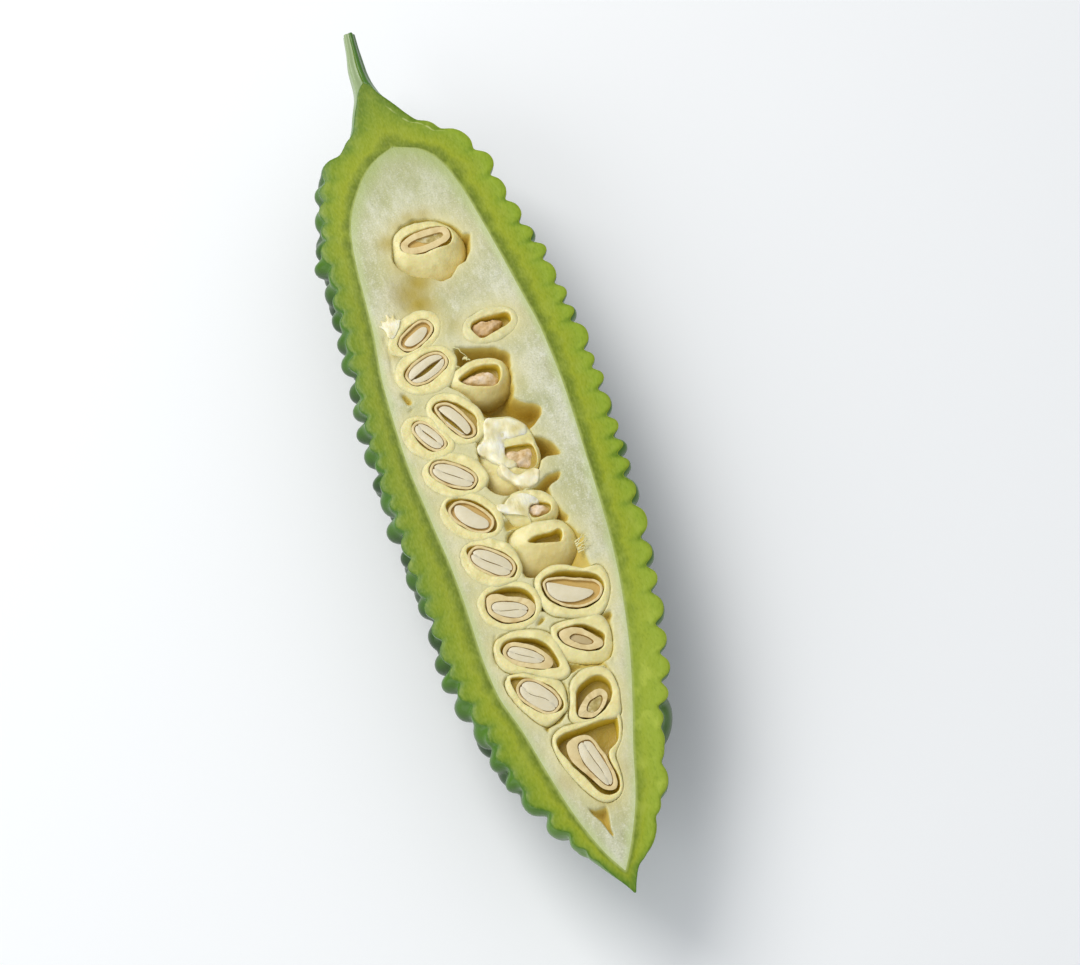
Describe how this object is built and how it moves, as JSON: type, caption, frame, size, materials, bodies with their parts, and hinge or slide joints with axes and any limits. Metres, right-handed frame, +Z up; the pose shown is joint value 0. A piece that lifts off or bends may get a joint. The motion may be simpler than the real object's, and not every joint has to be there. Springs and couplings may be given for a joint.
{
  "type": "halved bitter gourd",
  "caption": "Bitter gourd cut in half lengthwise, lying on its warty green back, with its stalk, pale spongy pith, pulp pockets and cut seeds showing in the flat cut face.",
  "frame": {"origin": "middle of the footprint, on the surface that the half lies on", "axes": "+Y along the fruit towards the stalk, +Z up, square to the cut face, +X across the fruit"},
  "size_m": [0.0542, 0.2194, 0.0264],
  "materials": {
    "wall": "moist cut green flesh inside a dark green, glossy, warty skin",
    "stalk": "satin green plant stem with fine lengthwise ridges",
    "pith": "matt, finely spongy, off-white with a green tint near the wall",
    "pulp": "moist, soft, pale yellow, golden in its hollows",
    "coat": "tan seed coat with a darker brown edge",
    "kernel": "satin ivory seed meat with a dark slit"
  },
  "bodies": {
    "root": {"green_wall": "wall", "stalk": "stalk", "white_pith": "pith", "pulp_01": "pulp", "pulp_02": "pulp", "pulp_03": "pulp", "pulp_04": "pulp", "pulp_05": "pulp", "pulp_06": "pulp", "pulp_07": "pulp", "pulp_08": "pulp", "pulp_09": "pulp", "pulp_10": "pulp", "pulp_11": "pulp", "pulp_12": "pulp", "pulp_13": "pulp", "pulp_14": "pulp", "pulp_15": "pulp", "pulp_16": "pulp", "pulp_17": "pulp", "pulp_18": "pulp", "pulp_19": "pulp", "pulp_20": "pulp", "seed_coat_01": "coat", "seed_coat_02": "coat", "seed_coat_03": "coat", "seed_coat_04": "coat", "seed_coat_05": "coat", "seed_coat_06": "coat", "seed_coat_07": "coat", "seed_coat_08": "coat", "seed_coat_09": "coat", "seed_coat_10": "coat", "seed_coat_11": "coat", "seed_coat_13": "coat", "seed_coat_14": "coat", "seed_coat_15": "coat", "seed_coat_16": "coat", "seed_coat_17": "coat", "seed_coat_18": "coat", "seed_coat_19": "coat", "seed_coat_20": "coat", "kernel_01": "kernel", "kernel_02": "kernel", "kernel_04": "kernel", "kernel_06": "kernel", "kernel_07": "kernel", "kernel_09": "kernel", "kernel_11": "kernel", "kernel_13": "kernel", "kernel_14": "kernel", "kernel_15": "kernel", "kernel_16": "kernel", "kernel_17": "kernel", "kernel_18": "kernel", "kernel_19": "kernel", "kernel_20": "kernel"}
  },
  "joints": []
}
